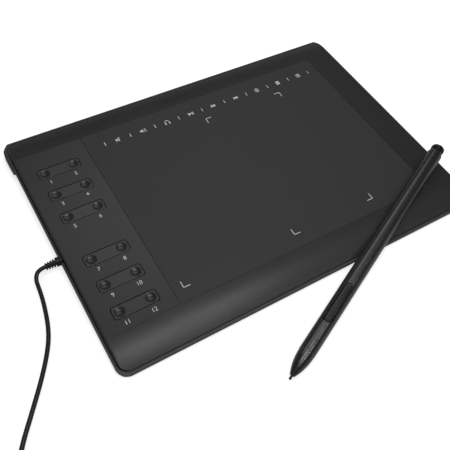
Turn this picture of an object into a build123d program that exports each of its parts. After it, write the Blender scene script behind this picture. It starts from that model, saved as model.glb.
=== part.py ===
from build123d import *
import math
import os

# All sizes are in millimetres. The tablet is drawn in its own frame: X along its length, Y towards
# the back edge, Z up, with z = 0 on the flat top face and x = y = 0 at the middle of the plan.
# It is then tilted and lifted onto the desk, which is z = 0 of the finished part. The thick back
# edge raises the back, so the drawing face leans slightly towards the user.

# Case
LENGTH = 372.6
DEPTH = 264.0
CORNER_RADIUS = 12.0
LEFT_MARGIN = 68.3
RIGHT_MARGIN = 34.3
FRONT_MARGIN = 32.0
BACK_MARGIN = 28.0
SHELL_DEPTH = 9.5
BACK_DEPTH = 13.5
WALL = 2.0
SEAM_DEPTH = 5.0
SEAM_GAP = 1.4
SEAM_GROOVE = 0.8
SEAM_CHANNEL = 1.1
SEAM_TRIM = 0.05
SEAM_EDGE = 0.4
TOP_INSET = 2.6
FRONT_LIP = 2.6
BACK_LIP = 3.7
ROLL_SAGITTA = 0.9
RIGHT_SLOPE = 2.2
EDGE_ROUND = 1.2
KINK_WIDTH = 0.5
KINK_DEPTH = 0.25
KINK_FROM_SIDE = 4.0
FRONT_BULGE = 1.0
LOWER_EDGE = 1.9
BACK_BULGE = 0.6
LOBE_SLOPE = 6.0
LOBE_START = 36.0
LOBE_FLAT = 24.0
LOBE_OVERHANG = 1.5
LOBE_CORNER_RADIUS = 13.0

# Drawing panel, set in a recess of the top cover
PANEL_THICKNESS = 1.0
PANEL_SINK = 0.1
PANEL_SIDE_GAP = 0.4
PANEL_END_GAP = 0.25

# Rocker keys: each bar has a fingertip dish at both ends and turns about its middle
KEY_FROM_LEFT = 36.2
KEY_LENGTH = 39.6
KEY_WIDTH = 11.6
KEY_CORNER = 2.5
KEY_GAP = 0.5
KEY_CAP = 2.0
KEY_EDGE_ROUND = 0.35
KEY_PITCH_SHARE = 0.1038
KEY_INNER_BACK = 21.4
KEY_INNER_FRONT = -28.0
DISH_FROM_MIDDLE = 13.7
DISH_RADIUS = 10.0
DISH_DEPTH = 1.2
PIVOT_DEPTH = 3.9
PIVOT_RADIUS = 1.0
PIVOT_CLEARANCE = 0.05
PIVOT_BLOCK = 5.0
PLUNGER_RADIUS = 1.5
KEY_ANGLE = 2.2
STOP_CLEARANCE = 0.03

# Key carrier, key board and switches
EAR_THICKNESS = 2.4
EAR_TOP = 2.3
EAR_GAP = 0.5
CARRIER_WIDTH = 50.0
CARRIER_BORDER = 11.0
CARRIER_THICKNESS = 1.2
CARRIER_RAIL = 5.2
WINDOW_LENGTH = 42.0
WINDOW_WIDTH = 12.4
BOARD_TOP = 5.7
BOARD_THICKNESS = 1.0
BOARD_WIDTH = 52.0
BOARD_BORDER = 10.0
OPENING_FRONT = -18.0
OPENING_BACK = 11.5
SWITCH_SIDE = 4.5
SWITCH_HEIGHT = 1.1
STEM_RADIUS = 1.0
STEM_HEIGHT = 0.3
POST_RADIUS = 1.5

# Sensor board, its shield and the flat cable under the drawing panel
SENSOR_BORDER = 5.0
SENSOR_THICKNESS = 0.8
SHIELD_THICKNESS = 0.3
SHIELD_INDENT = 13.0
RIB_THICKNESS = 1.2
RIB_SPACING = 40.0
RIB_GAP = 0.3
RIB_BORDER = 20.0
SOCKET_HEIGHT = 1.7
SOCKET_WIDTH = 13.0
SOCKET_DEPTH = 3.0
FLEX_WIDTH = 10.0
FLEX_THICKNESS = 0.2
FLEX_Y = 5.5

# Screws
CASE_SCREW_RADIUS = 1.15
CASE_SCREW_TOP = 3.2
CASE_HEAD_RADIUS = 2.0
CASE_HEAD_HEIGHT = 1.3
CASE_SCREW_SEAT = 8.0
CASE_SCREW_FROM_SIDE = 26.0
CASE_SCREW_FROM_FRONT = 21.0
CASE_SCREW_FROM_BACK = 19.0
BOSS_RADIUS = 3.0
BOSS_BOTTOM = 6.5
BOARD_SCREW_RADIUS = 0.95
BOARD_SCREW_TOP = 2.6
BOARD_HEAD_RADIUS = 1.8
BOARD_HEAD_HEIGHT = 0.6
HOLE_CLEARANCE = 0.05
HEAD_CLEARANCE = 0.2

# Rubber feet
FOOT_RADIUS = 6.0
CENTRE_FOOT_RADIUS = 8.0
FOOT_RECESS = 0.6
FOOT_HEIGHT = 1.0
FOOT_GAP = 0.3
FOOT_FROM_FRONT = 20.0
FOOT_FROM_BACK = 14.0
FOOT_FROM_SIDE = 36.0

# Lead and its ribbed strain relief, on the left side
CORD_DIAMETER = 3.6
RELIEF_Y = -13.5
RELIEF_Z = -5.4
RELIEF_NECK_RADIUS = 2.5
RELIEF_ROOT_RADIUS = 4.0
RELIEF_TIP_RADIUS = 3.0
RELIEF_LENGTH = 12.6
RELIEF_ROOT_LENGTH = 3.4
RELIEF_RIBS = 4
RELIEF_RIB = 1.2
RELIEF_GAP = 0.1
RELIEF_SLEEVE = 0.4
FLANGE_THICKNESS = 1.5
FLANGE_WIDTH = 8.8
FLANGE_HEIGHT = 4.0
LEAD_JACKET = 4.0
LEAD_SHEATH = 0.3
LEAD_WIRES = 5
LEAD_WIRE_RADIUS = 0.4
LEAD_WIRE_LENGTH = 4.6
LEAD_PLUG_LENGTH = 7.0
LEAD_PLUG_WIDTH = 8.0
LEAD_PLUG_HEIGHT = 2.7
HEADER_LENGTH = 4.0

# Route of the lead on the desk, from the end of the strain relief: offsets in X and Y, and how far
# the lead is held clear of the desk
CORD_ROUTE = [
    (-11.3, -6.2, 2.8),
    (-11.8, -16.1, 0.9),
    (-13.7, -31.1, 0),
    (-18.1, -51.6, 0),
    (-24.4, -66.9, 0),
    (-36.1, -86.0, 0),
    (-52.1, -107.9, 0),
    (-69.6, -131.1, 0),
    (-90.0, -167.8, 0),
]
CORD_FIRST_RUN = 6.6
CORD_BEND_SHARE = 0.45

# Coil of the stored length, two layers of turns, and the plug beside it
COIL_GAP = 0.45
COIL_RADIUS = 28.6
COIL_BOTTOM_QUARTERS = 13
COIL_REVERSAL_QUARTERS = 2
COIL_TOP_QUARTERS = 14
COIL_TAIL = 24.0
PLUG_LENGTH = 26.0
PLUG_WIDTH = 15.6
PLUG_HEIGHT = 8.0
PLUG_ROUND = 1.6
PLUG_LIFT = 0.05
PLUG_RELIEF_LENGTH = 9.0
PLUG_RELIEF_RADIUS = 2.7
PLUG_RELIEF_ROOT = 3.7
PLUG_SHELL_WIDTH = 12.0
PLUG_SHELL_HEIGHT = 4.5
PLUG_SHELL_LENGTH = 12.0
PLUG_SHELL_WALL = 0.3
PLUG_SHELL_SEAT = 6.0
TONGUE_THICKNESS = 1.8
TONGUE_SHORT = 0.6

# Pen, drawn along +X from its tip with the button on top, and then laid across the front edge
PEN_TIP_X = -73.96
PEN_TIP_FROM_FRONT = 61.75
PEN_HEADING = 24.97
PEN_ROLL = 1.0
PEN_REST_FROM_FRONT = 18.3
PEN_REST_RADIUS = 7.15
PEN_REST_CLEARANCE = 0.35
PEN_DESK_CLEARANCE = 0.1
PEN_BORE = 4.6
NIB_RADIUS = 0.95
NIB_TIP_RADIUS = 1.15
NIB_REACH = 0.8
NIB_CLEARANCE = 0.08
NIB_LOOSE = 0.3
NOSE_START = 4.0
NOSE_END = 26.0
NOSE_TIP_RADIUS = 2.1
GRIP_RADIUS = 7.0
TAIL_RADIUS = 7.3
GRIP_END = 101.0
BARREL_END = 276.9
SHOULDER_ROUND = 1.5
JOINT_BEVEL = 0.25
SPIGOT_LENGTH = 4.0
SPIGOT_CLEARANCE = 0.05
SPIGOT_WALL = 0.65
CAP_NECK_RADIUS = 5.4
CAP_NECK_LENGTH = 5.0
CAP_RADIUS = 6.4
CAP_LENGTH = 3.3
FERRITE_LENGTH = 15.0
FERRITE_RADIUS = 2.6
COIL_WIRE_RADIUS = 4.2
COIL_WIRE_INDENT = 1.2
SENSOR_LENGTH = 7.0
SENSOR_RADIUS = 4.5
SENSOR_BORE_DEPTH = 1.5
PEN_BOARD_LENGTH = 62.0
PEN_BOARD_WIDTH = 6.8
PEN_BOARD_BOTTOM = 0.2
PEN_BOARD_THICKNESS = 1.0
PEN_SWITCH_HEIGHT = 1.3
BUTTON_START = 55.8
BUTTON_END = 95.3
BUTTON_WIDTH = 5.0
BUTTON_GAP = 0.3
BUTTON_BOTTOM = 3.4
BUTTON_CROWN = 7.3
BUTTON_ROUND = 0.4
BUTTON_PIVOT_Z = 4.1
BUTTON_PIVOT_RADIUS = 0.6
BUTTON_PIVOT_REACH = 3.7
BUTTON_PLUNGER = 13.0
BUTTON_TRAVEL_GAP = 0.35
POCKET_START = 53.8
POCKET_END = 97.3
POCKET_WIDTH = 8.4
POCKET_DEPTH = 0.9
ROUND_END_MARGIN = 0.05

# Places that follow from the sizes above
LEFT = -LENGTH / 2
RIGHT = LENGTH / 2
FRONT = -DEPTH / 2
BACK = DEPTH / 2
PANEL_LEFT = LEFT + LEFT_MARGIN
PANEL_RIGHT = RIGHT - RIGHT_MARGIN
PANEL_FRONT = FRONT + FRONT_MARGIN
PANEL_BACK = BACK - BACK_MARGIN
FRONT_SEAM_Y = FRONT + FRONT_LIP
BACK_SEAM_Y = BACK - BACK_LIP
KEY_X = LEFT + KEY_FROM_LEFT
KEY_PITCH = KEY_PITCH_SHARE * DEPTH
KEY_YS = [KEY_INNER_BACK + step * KEY_PITCH for step in (2, 1, 0)]
KEY_YS += [KEY_INNER_FRONT - step * KEY_PITCH for step in (0, 1, 2)]
KEYS_MIDDLE = (max(KEY_YS) + min(KEY_YS)) / 2
KEYS_SPAN = max(KEY_YS) - min(KEY_YS)
CARRIER_TOP = -BOARD_TOP + CARRIER_THICKNESS
FOOT_FRONT_Y = FRONT + FOOT_FROM_FRONT
FOOT_BACK_Y = BACK - FOOT_FROM_BACK
TILT = math.atan((BACK_DEPTH - SHELL_DEPTH) / (FOOT_BACK_Y - FOOT_FRONT_Y))
LIFT = (SHELL_DEPTH + FOOT_HEIGHT) * math.cos(TILT) - FOOT_FRONT_Y * math.sin(TILT)
ON_DESK = Pos(0, 0, LIFT) * Rot(math.degrees(TILT), 0, 0)
COIL_PITCH = CORD_DIAMETER + COIL_GAP
FAR = 600.0
TALL = 60.0


def export(name, shape):
    """Write one sub-part, or a group of like solids, under its own name."""
    solids = shape.solids()
    body = solids[0] if len(solids) == 1 else Compound(children=solids)
    export_step(body, f"parts/{name}.step")
    print(name, len(solids), round(sum(solid.volume for solid in solids), 1))


def box(x, y, z):
    """A block between two values along each axis."""
    middle = [(span[0] + span[1]) / 2 for span in (x, y, z)]
    return Pos(*middle) * Box(x[1] - x[0], y[1] - y[0], z[1] - z[0])


def rod(radius, bottom, top, x=0.0, y=0.0):
    return Pos(x, y, (bottom + top) / 2) * Cylinder(radius, top - bottom)


def rod_along_x(radius, start, end, y=0.0, z=0.0):
    return Pos((start + end) / 2, y, z) * Rot(0, 90, 0) * Cylinder(radius, end - start)


def rod_along_y(radius, start, end, x=0.0, z=0.0):
    return Pos(x, (start + end) / 2, z) * Rot(90, 0, 0) * Cylinder(radius, end - start)


def plate(length, width, radius, bottom, top, x=0.0, y=0.0):
    """An upright block with rounded corners."""
    return extrude(Pos(x, y, bottom) * RectangleRounded(length, width, radius), amount=top - bottom)


def desk_point(x, y, z):
    """A point of the tablet's own frame, placed in the finished part."""
    across = y * math.cos(TILT) - z * math.sin(TILT)
    height = LIFT + y * math.sin(TILT) + z * math.cos(TILT)
    return Vector(x, across, height)


# Case outline, cavity and screw places

def roof_section():
    """Section across the case below the flat top and its rolled front and back edges."""
    edge = -SEAM_DEPTH + SEAM_EDGE
    front_roll = SagittaArc((PANEL_FRONT, 0), (FRONT_SEAM_Y, edge), -ROLL_SAGITTA)
    back_roll = SagittaArc((BACK_SEAM_Y, edge), (PANEL_BACK, 0), -ROLL_SAGITTA)
    top = Line((PANEL_BACK, 0), (PANEL_FRONT, 0))
    sides = Polyline((FRONT_SEAM_Y, edge), (FRONT_SEAM_Y, -TALL), (BACK_SEAM_Y, -TALL), (BACK_SEAM_Y, edge))
    return make_face(top + front_roll + sides + back_roll)


def floor_section():
    """Section across the case above the rounded front, the flat underside and the thick back lobe."""
    front_rim = (FRONT_SEAM_Y - TOP_INSET, -SEAM_DEPTH)
    back_rim = (BACK_SEAM_Y + TOP_INSET, -SEAM_DEPTH)
    lower = FilletPolyline(
        front_rim,
        (FRONT - FRONT_BULGE, -SHELL_DEPTH + LOWER_EDGE),
        (FRONT + LOWER_EDGE, -SHELL_DEPTH),
        (BACK - LOBE_START, -SHELL_DEPTH),
        (BACK - LOBE_FLAT, -BACK_DEPTH),
        (BACK - LOBE_SLOPE, -BACK_DEPTH),
        (BACK + BACK_BULGE, -BACK_DEPTH + LOBE_SLOPE),
        back_rim,
        radius=[1.2, 2.5, 20.0, 20.0, 6.0, 1.5],
    )
    sides = Polyline(back_rim, (back_rim[0], TALL), (front_rim[0], TALL), front_rim)
    return make_face(lower + sides)


def drawn_out(section, inset):
    """A section drawn out along the whole length, or the same set in by a wall."""
    if inset:
        section = offset(section, amount=-inset, kind=Kind.INTERSECTION)
    return extrude(Plane.YZ * section, amount=LENGTH, both=True)


def roof_block(inset=0.0):
    slope = Pos(PANEL_RIGHT, 0, -inset) * Rot(0, RIGHT_SLOPE, 0)
    return drawn_out(roof_section(), inset) - slope * box((0, FAR), (-FAR, FAR), (0, TALL))


def floor_block(inset=0.0):
    return drawn_out(floor_section(), inset)


def case_plan(length, radius):
    return plate(length, DEPTH + 2 * FRONT_BULGE, radius, -TALL, TALL)


def seam_plan(inset):
    """Upright block with the outline of the case at its seam, set in from the lower cover's rim.

    Its front and back are trimmed a little inside the section, so that its round corners never
    touch the section's own upright faces.
    """
    middle = (BACK_SEAM_Y + FRONT_SEAM_Y) / 2
    depth = BACK_SEAM_Y - FRONT_SEAM_Y + 2 * (TOP_INSET - SEAM_TRIM - inset)
    return plate(LENGTH - 2 * inset, depth, CORNER_RADIUS - inset, -TALL, TALL, 0, middle)


def case_cavity():
    return roof_block(WALL) & floor_block(WALL) & seam_plan(TOP_INSET + WALL)


def case_screw_places():
    front = FRONT + CASE_SCREW_FROM_FRONT
    back = BACK - CASE_SCREW_FROM_BACK
    outer = LENGTH / 2 - CASE_SCREW_FROM_SIDE
    inner = LENGTH * 0.15
    return [(x, y) for y in (front, back) for x in (-outer, -inner, inner, outer)]


def board_screw_places():
    back = (KEY_YS[0] + KEY_YS[1]) / 2
    front = (KEY_YS[4] + KEY_YS[5]) / 2
    side = KEY_LENGTH / 2 - 1.8
    rail = CARRIER_WIDTH / 2 - CARRIER_RAIL / 2
    places = [(KEY_X + x, y) for y in (front, back) for x in (-side, side)]
    return places + [(KEY_X + rail, KEYS_MIDDLE)]


def foot_places():
    side = LENGTH / 2 - FOOT_FROM_SIDE
    return [(x, y) for y in (FOOT_FRONT_Y, FOOT_BACK_Y) for x in (-side, side)]


def underside(y):
    """Depth of the case's underside at a distance from the middle."""
    return BACK_DEPTH if y > BACK - LOBE_FLAT else SHELL_DEPTH


def relief_hole():
    radius = RELIEF_NECK_RADIUS + HOLE_CLEARANCE
    return rod_along_x(radius, LEFT - 3 * WALL, LEFT + 3 * WALL, RELIEF_Y, RELIEF_Z)


def panel_block(side_gap, end_gap, bottom, top):
    x = (PANEL_LEFT - side_gap, PANEL_RIGHT + side_gap)
    y = (PANEL_FRONT - end_gap, PANEL_BACK + end_gap)
    return box(x, y, (bottom, top))


# Top cover, with a recess for the panel, six key slots and the bosses for both sets of screws

def is_side_rim(edge, length):
    """The long straight and curved edges along the top of the left and right sides."""
    middle = edge @ 0.5
    on_side = abs(abs(middle.X) - length / 2) < 0.01
    above_seam = middle.Z > -SEAM_DEPTH + 0.01
    return on_side and above_seam and (edge.geom_type == GeomType.CIRCLE or edge.length > DEPTH / 2)


def make_top_cover(cavity):
    length = LENGTH - 2 * TOP_INSET
    cover = roof_block() & box((-length / 2, length / 2), (-FAR, FAR), (-SEAM_DEPTH, TALL))
    cover = fillet([edge for edge in cover.edges() if is_side_rim(edge, length)], EDGE_ROUND)
    cover = cover & seam_plan(TOP_INSET)
    cover -= cavity
    for y in (PANEL_FRONT, PANEL_BACK):
        x = (-length / 2 + KINK_FROM_SIDE, length / 2 - KINK_FROM_SIDE)
        cover -= box(x, (y - KINK_WIDTH / 2, y + KINK_WIDTH / 2), (-KINK_DEPTH, TALL))
    for x, y in case_screw_places():
        cover += rod(BOSS_RADIUS, -BOSS_BOTTOM, -WALL, x, y)
        cover -= rod(CASE_SCREW_RADIUS + HOLE_CLEARANCE, -BOSS_BOTTOM, -CASE_SCREW_TOP + 0.3, x, y)
    for x, y in board_screw_places():
        cover += rod(BOARD_SCREW_RADIUS + 1.4, CARRIER_TOP, -WALL, x, y)
        cover -= rod(BOARD_SCREW_RADIUS + HOLE_CLEARANCE, CARRIER_TOP, -BOARD_SCREW_TOP + 0.3, x, y)
    cover -= panel_block(PANEL_SIDE_GAP, PANEL_END_GAP, -PANEL_THICKNESS - PANEL_SINK, TALL)
    slot = (KEY_LENGTH + 2 * KEY_GAP, KEY_WIDTH + 2 * KEY_GAP, KEY_CORNER + KEY_GAP)
    for y in KEY_YS:
        cover -= plate(*slot, -WALL - 1.0, 1.0, KEY_X, y)
    return cover - relief_hole()


def make_panel():
    return panel_block(0, 0, -PANEL_THICKNESS - PANEL_SINK, -PANEL_SINK)


# Bottom cover, with the thick back lobe, screw sleeves, switch posts and support ribs

def seam_channel():
    """Open groove round the seam, outside the land where the two covers touch."""
    channel = box((-FAR, FAR), (-FAR, FAR), (-SEAM_DEPTH - SEAM_GAP, -SEAM_DEPTH))
    return (channel & seam_plan(TOP_INSET - SEAM_CHANNEL)) - seam_plan(TOP_INSET + SEAM_GROOVE)


def make_ribs():
    """Ribs in both directions under the panel, a little short of the shield."""
    top = -WALL - SENSOR_THICKNESS - SHIELD_THICKNESS - RIB_GAP
    x_span = (PANEL_LEFT + RIB_BORDER, PANEL_RIGHT - RIB_BORDER / 2)
    y_span = (PANEL_FRONT + RIB_BORDER / 2, PANEL_BACK - RIB_BORDER / 2)
    height = (-BACK_DEPTH, top)
    across = math.floor((x_span[1] - x_span[0]) / RIB_SPACING)
    along = math.floor((y_span[1] - y_span[0]) / RIB_SPACING)
    ribs = []
    for index in range(across + 1):
        x = x_span[0] + index * (x_span[1] - x_span[0]) / across
        ribs.append(box((x - RIB_THICKNESS / 2, x + RIB_THICKNESS / 2), y_span, height))
    for index in range(along + 1):
        y = y_span[0] + index * (y_span[1] - y_span[0]) / along
        ribs.append(box(x_span, (y - RIB_THICKNESS / 2, y + RIB_THICKNESS / 2), height))
    grid = ribs[0]
    for rib in ribs[1:]:
        grid += rib
    return grid & roof_block(WALL / 2) & floor_block(WALL / 2)


def make_bottom_cover(cavity):
    below = box((-FAR, FAR), (-FAR, FAR), (-TALL, -SEAM_DEPTH))
    block = floor_block() & below
    cover = block & case_plan(LENGTH, CORNER_RADIUS)
    lobe_area = box((-FAR, FAR), (BACK - LOBE_START, FAR), (-TALL, -SEAM_DEPTH - SEAM_GAP))
    cover += block & case_plan(LENGTH + 2 * LOBE_OVERHANG, LOBE_CORNER_RADIUS) & lobe_area
    cover = cover - seam_channel() - cavity
    cover += make_ribs()
    for x, y in case_screw_places():
        floor = -underside(y) + WALL / 2
        cover += rod(BOSS_RADIUS, floor, -BOSS_BOTTOM, x, y)
        cover -= rod(CASE_SCREW_RADIUS + HOLE_CLEARANCE, -TALL, -BOSS_BOTTOM, x, y)
        cover -= rod(CASE_HEAD_RADIUS + HEAD_CLEARANCE, -TALL, -CASE_SCREW_SEAT, x, y)
    for y in KEY_YS:
        cover += rod(POST_RADIUS, -SHELL_DEPTH + WALL / 2, -BOARD_TOP - BOARD_THICKNESS, KEY_X, y)
    for x, y in foot_places():
        cover -= rod(FOOT_RADIUS + FOOT_GAP, -TALL, -underside(y) + FOOT_RECESS, x, y)
    cover -= rod(CENTRE_FOOT_RADIUS + FOOT_GAP, -TALL, -SHELL_DEPTH + FOOT_RECESS)
    return cover - relief_hole()


def make_feet():
    """Five pads, glued in their recesses and cut level with the desk."""
    pads = [rod(FOOT_RADIUS, -TALL, -underside(y) + FOOT_RECESS, x, y) for x, y in foot_places()]
    pads.append(rod(CENTRE_FOOT_RADIUS, -TALL, -SHELL_DEPTH + FOOT_RECESS))
    below_desk = box((-FAR, FAR), (-FAR, FAR), (-2 * TALL, 0))
    return Compound(children=[ON_DESK * pad - below_desk for pad in pads])


def make_case_screws():
    screws = []
    for x, y in case_screw_places():
        head = rod(CASE_HEAD_RADIUS, -CASE_SCREW_SEAT - CASE_HEAD_HEIGHT, -CASE_SCREW_SEAT, x, y)
        cross = rod(0.8, -CASE_SCREW_SEAT - CASE_HEAD_HEIGHT, -CASE_SCREW_SEAT - 0.6, x, y)
        shank = rod(CASE_SCREW_RADIUS, -CASE_SCREW_SEAT, -CASE_SCREW_TOP, x, y)
        screws.append(head + shank - cross)
    return Compound(children=screws)


# Keys, the carrier that holds their pivots, and the key board

def make_key(y):
    key = plate(KEY_LENGTH, KEY_WIDTH, KEY_CORNER, -KEY_CAP, 0)
    key = fillet(key.faces().sort_by(Axis.Z)[-1].edges(), KEY_EDGE_ROUND)
    stem_top = -BOARD_TOP + SWITCH_HEIGHT + STEM_HEIGHT
    drop = (DISH_FROM_MIDDLE + STEM_RADIUS) * math.sin(math.radians(KEY_ANGLE))
    for side in (-1, 1):
        x = side * DISH_FROM_MIDDLE
        key -= Pos(x, 0, DISH_RADIUS - DISH_DEPTH) * Sphere(DISH_RADIUS)
        key += rod(PLUNGER_RADIUS, stem_top + drop + STOP_CLEARANCE, -KEY_CAP, x)
    half_block = KEY_WIDTH / 2 - 0.4
    block_bottom = -PIVOT_DEPTH - PIVOT_RADIUS
    key += box((-PIVOT_BLOCK / 2, PIVOT_BLOCK / 2), (-half_block, half_block), (block_bottom, -KEY_CAP))
    reach = KEY_WIDTH / 2 + EAR_GAP + EAR_THICKNESS - 0.2
    key += rod_along_y(PIVOT_RADIUS, -reach, reach, 0, -PIVOT_DEPTH)
    return Pos(KEY_X, y, 0) * key


def make_carrier():
    left = KEY_X - CARRIER_WIDTH / 2
    right = KEY_X + CARRIER_WIDTH / 2
    depth = KEYS_SPAN + 2 * CARRIER_BORDER
    carrier = plate(CARRIER_WIDTH, depth, 3.0, -BOARD_TOP, CARRIER_TOP, KEY_X, KEYS_MIDDLE)
    opening = (OPENING_FRONT, OPENING_BACK)
    carrier -= box((left - 1.0, right - CARRIER_RAIL), opening, (-TALL, TALL))
    ear_start = KEY_WIDTH / 2 + EAR_GAP
    ear_x = (KEY_X - PIVOT_BLOCK / 2, KEY_X + PIVOT_BLOCK / 2)
    for y in KEY_YS:
        carrier -= plate(WINDOW_LENGTH, WINDOW_WIDTH, 1.0, -TALL, TALL, KEY_X, y)
        for side in (-1, 1):
            ear_y = sorted((y + side * ear_start, y + side * (ear_start + EAR_THICKNESS)))
            carrier += box(ear_x, ear_y, (CARRIER_TOP - 0.2, -EAR_TOP))
        reach = ear_start + EAR_THICKNESS + 0.1
        carrier -= rod_along_y(PIVOT_RADIUS + PIVOT_CLEARANCE, y - reach, y + reach, KEY_X, -PIVOT_DEPTH)
    for x, y in board_screw_places():
        carrier -= rod(BOARD_SCREW_RADIUS + HOLE_CLEARANCE, -TALL, TALL, x, y)
    return carrier


def make_key_board():
    bottom = -BOARD_TOP - BOARD_THICKNESS
    depth = KEYS_SPAN + 2 * BOARD_BORDER
    board = plate(BOARD_WIDTH, depth, 1.5, bottom, -BOARD_TOP, KEY_X, KEYS_MIDDLE)
    for x, y in board_screw_places():
        board -= rod(BOARD_SCREW_RADIUS + HOLE_CLEARANCE, -TALL, TALL, x, y)
    return board


def switch_places():
    return [(KEY_X + side * DISH_FROM_MIDDLE, y) for y in KEY_YS for side in (-1, 1)]


def make_switch_bodies():
    half = SWITCH_SIDE / 2
    height = (-BOARD_TOP, -BOARD_TOP + SWITCH_HEIGHT)
    bodies = [box((x - half, x + half), (y - half, y + half), height) for x, y in switch_places()]
    return Compound(children=bodies)


def make_switch_stems():
    bottom = -BOARD_TOP + SWITCH_HEIGHT
    stems = [rod(STEM_RADIUS, bottom, bottom + STEM_HEIGHT, x, y) for x, y in switch_places()]
    return Compound(children=stems)


def make_board_screws():
    seat = -BOARD_TOP - BOARD_THICKNESS
    screws = []
    for x, y in board_screw_places():
        head = rod(BOARD_HEAD_RADIUS, seat - BOARD_HEAD_HEIGHT, seat, x, y)
        screws.append(head + rod(BOARD_SCREW_RADIUS, seat, -BOARD_SCREW_TOP, x, y))
    return Compound(children=screws)


def make_chips():
    """Controller, memory, crystal, regulator and the inductor of the board's own supply."""
    sizes = [
        (-1.0, -4.0, 9.0, 9.0, 1.0),
        (-1.0, -13.0, 5.0, 4.0, 1.0),
        (8.5, -6.0, 3.2, 2.5, 0.8),
        (8.5, 4.5, 3.0, 3.0, 1.0),
        (-10.0, 5.0, 4.0, 4.0, 1.8),
        (0.0, 6.5, 2.0, 1.2, 0.6),
    ]
    chips = []
    for dx, y, width, depth, height in sizes:
        x_span = (KEY_X + dx - width / 2, KEY_X + dx + width / 2)
        chips.append(box(x_span, (y - depth / 2, y + depth / 2), (-BOARD_TOP, -BOARD_TOP + height)))
    return Compound(children=chips)


# Sensor board, shield and the flat cable between the boards

def make_sensor_board():
    x = (PANEL_LEFT + SENSOR_BORDER, PANEL_RIGHT - SENSOR_BORDER)
    y = (PANEL_FRONT + SENSOR_BORDER, PANEL_BACK - SENSOR_BORDER)
    return box(x, y, (-WALL - SENSOR_THICKNESS, -WALL))


def make_sensor_shield():
    x = (PANEL_LEFT + SENSOR_BORDER + SHIELD_INDENT, PANEL_RIGHT - SENSOR_BORDER)
    y = (PANEL_FRONT + SENSOR_BORDER, PANEL_BACK - SENSOR_BORDER)
    top = -WALL - SENSOR_THICKNESS
    return box(x, y, (top - SHIELD_THICKNESS, top))


def make_flex_and_sockets():
    """One socket stands on the key board, the other hangs from the sensor board."""
    low_x = KEY_X + CARRIER_WIDTH / 2 - CARRIER_RAIL - 0.6
    high_x = PANEL_LEFT + SENSOR_BORDER + 1.0
    y_span = (FLEX_Y - SOCKET_WIDTH / 2 + 0.5, FLEX_Y + SOCKET_WIDTH / 2 - 1.0)
    low = box((low_x - SOCKET_DEPTH, low_x), y_span, (-BOARD_TOP, -BOARD_TOP + SOCKET_HEIGHT))
    under = -WALL - SENSOR_THICKNESS
    high = box((high_x, high_x + SOCKET_DEPTH), y_span, (under - 1.0, under))
    low_z = CARRIER_TOP + 0.2
    high_z = under - 0.6
    path = Polyline(
        (low_x, low_z),
        (KEY_X + BOARD_WIDTH / 2 + 4.0, low_z),
        (high_x - 4.0, high_z),
        (high_x, high_z),
    )
    ribbon = trace(path, FLEX_THICKNESS)
    ribbon = extrude(Plane.XZ * ribbon, amount=FLEX_WIDTH / 2, both=True)
    return Pos(0, FLEX_Y, 0) * ribbon, Compound(children=[low, high])


# Strain relief, the lead inside the case and its plug

def make_relief():
    outer_start = LEFT - RELIEF_GAP
    relief = rod_along_x(RELIEF_NECK_RADIUS, LEFT - 1.0, LEFT + TOP_INSET + WALL + 1.0)
    relief += rod_along_x(RELIEF_ROOT_RADIUS, outer_start - RELIEF_ROOT_LENGTH, outer_start)
    relief += rod_along_x(CORD_DIAMETER / 2 + RELIEF_SLEEVE, LEFT - RELIEF_LENGTH, LEFT - 1.0)
    ribs_start = outer_start - RELIEF_ROOT_LENGTH
    pitch = (ribs_start - (LEFT - RELIEF_LENGTH)) / RELIEF_RIBS
    for index in range(RELIEF_RIBS):
        share = (index + 1) / RELIEF_RIBS
        radius = RELIEF_ROOT_RADIUS - 0.2 + (RELIEF_TIP_RADIUS - RELIEF_ROOT_RADIUS + 0.2) * share
        end = ribs_start - (index + 1) * pitch
        relief += rod_along_x(radius, end, end + RELIEF_RIB)
    flange_start = LEFT + TOP_INSET + WALL + RELIEF_GAP
    flange_x = (flange_start, flange_start + FLANGE_THICKNESS)
    half_width = FLANGE_WIDTH / 2
    half_height = FLANGE_HEIGHT / 2
    relief += box(flange_x, (-half_width, half_width), (-half_height, half_height))
    return Pos(0, RELIEF_Y, RELIEF_Z) * relief


def make_inner_lead():
    """Jacket stub with five wires fanned out to the plug on the key board."""
    start = LEFT + TOP_INSET + WALL + RELIEF_GAP + FLANGE_THICKNESS
    jacket_end = start + LEAD_JACKET
    wire_end = jacket_end + LEAD_WIRE_LENGTH
    plug_z = -BOARD_TOP + LEAD_PLUG_HEIGHT / 2
    lead = rod_along_x(CORD_DIAMETER / 2 - LEAD_SHEATH, start, jacket_end, RELIEF_Y, RELIEF_Z)
    for index in range(LEAD_WIRES):
        share = index - (LEAD_WIRES - 1) / 2
        first = Vector(jacket_end - 0.8, RELIEF_Y + share * 0.5, RELIEF_Z + 0.4)
        last = Vector(wire_end + 1.0, RELIEF_Y + share * 1.4, plug_z)
        route = Plane(origin=first, z_dir=last - first)
        lead += extrude(route * Circle(LEAD_WIRE_RADIUS), amount=(last - first).length)
    lead = lead & box((start, wire_end), (-FAR, FAR), (-TALL, TALL))
    half = LEAD_PLUG_WIDTH / 2
    y_span = (RELIEF_Y - half, RELIEF_Y + half)
    plug_x = (wire_end, wire_end + LEAD_PLUG_LENGTH)
    plug = box(plug_x, y_span, (-BOARD_TOP, -BOARD_TOP + LEAD_PLUG_HEIGHT))
    header_x = (plug_x[1], plug_x[1] + HEADER_LENGTH)
    header = box(header_x, y_span, (-BOARD_TOP, -BOARD_TOP + LEAD_PLUG_HEIGHT - 0.3))
    return lead, plug, header


# Lead on the desk: bends cut from straight runs, then the coil and the plug

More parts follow.
